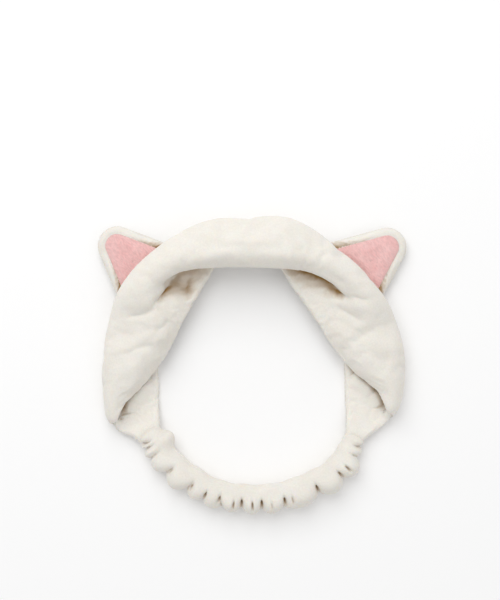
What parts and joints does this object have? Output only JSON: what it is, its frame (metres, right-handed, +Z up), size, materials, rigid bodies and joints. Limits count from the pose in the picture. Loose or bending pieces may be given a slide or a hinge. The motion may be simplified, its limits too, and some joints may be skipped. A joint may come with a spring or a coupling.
{
  "type": "animal ears headband",
  "caption": "Plush headband: wide padded fleece band folded along its length, stuffed pointed ears with pink inner patches, and a gathered elastic casing at the back.",
  "frame": {"origin": "on the surface it lies on, under the middle of the whole outline", "axes": "+X across the head opening from the left ear to the right ear, +Y from the elastic towards the ears, +Z up from the surface it lies on"},
  "size_m": [0.2327, 0.2203, 0.0462],
  "materials": {
    "off_white_fleece": "short-pile coral fleece, soft and matt",
    "lining_fleece": "the same short-pile fleece, on the side against the head",
    "pink_plush": "crushed short-pile plush with lighter and darker streaks",
    "wadding": "polyester wadding",
    "thread": "spun polyester sewing thread",
    "woven_elastic": "flat woven elastic"
  },
  "bodies": {
    "band": {"band_outer_panel": "off_white_fleece", "band_lining_panel": "lining_fleece", "band_wadding": "wadding", "band_back_edge_seam": "thread", "band_front_edge_seam": "thread", "left_end_stitches": "thread", "right_end_stitches": "thread"},
    "left_ear": {"left_ear_back_panel": "off_white_fleece", "left_ear_stuffing": "wadding", "left_ear_front_panel": "off_white_fleece", "left_ear_inner_patch": "pink_plush", "left_ear_rim_seam": "thread", "left_ear_patch_stitching": "thread", "left_ear_base_seam": "thread"},
    "right_ear": {"right_ear_back_panel": "off_white_fleece", "right_ear_stuffing": "wadding", "right_ear_front_panel": "off_white_fleece", "right_ear_inner_patch": "pink_plush", "right_ear_rim_seam": "thread", "right_ear_patch_stitching": "thread", "right_ear_base_seam": "thread"},
    "elastic_back": {"elastic_casing": "off_white_fleece", "elastic_strip": "woven_elastic", "casing_lengthwise_seam": "thread"}
  },
  "joints": [
    {"name": "left_ear_fold", "type": "hinge", "parent": "band", "child": "left_ear", "pos_m": [-0.08263, 0.07274, 0.007], "axis": [0.6947, 0.7193, 0], "range_deg": [-10, 55], "stiffness_Nm_per_rad": 0.015},
    {"name": "right_ear_fold", "type": "hinge", "parent": "band", "child": "right_ear", "pos_m": [0.08278, 0.07349, 0.007], "axis": [0.6239, -0.7815, 0], "range_deg": [-10, 55], "stiffness_Nm_per_rad": 0.015},
    {"name": "elastic_stretch", "type": "slide", "parent": "band", "child": "elastic_back", "axis": [0, -1, 0], "range_m": [0, 0.04], "stiffness_N_per_m": 120, "deforming": ["elastic_strip"]}
  ]
}
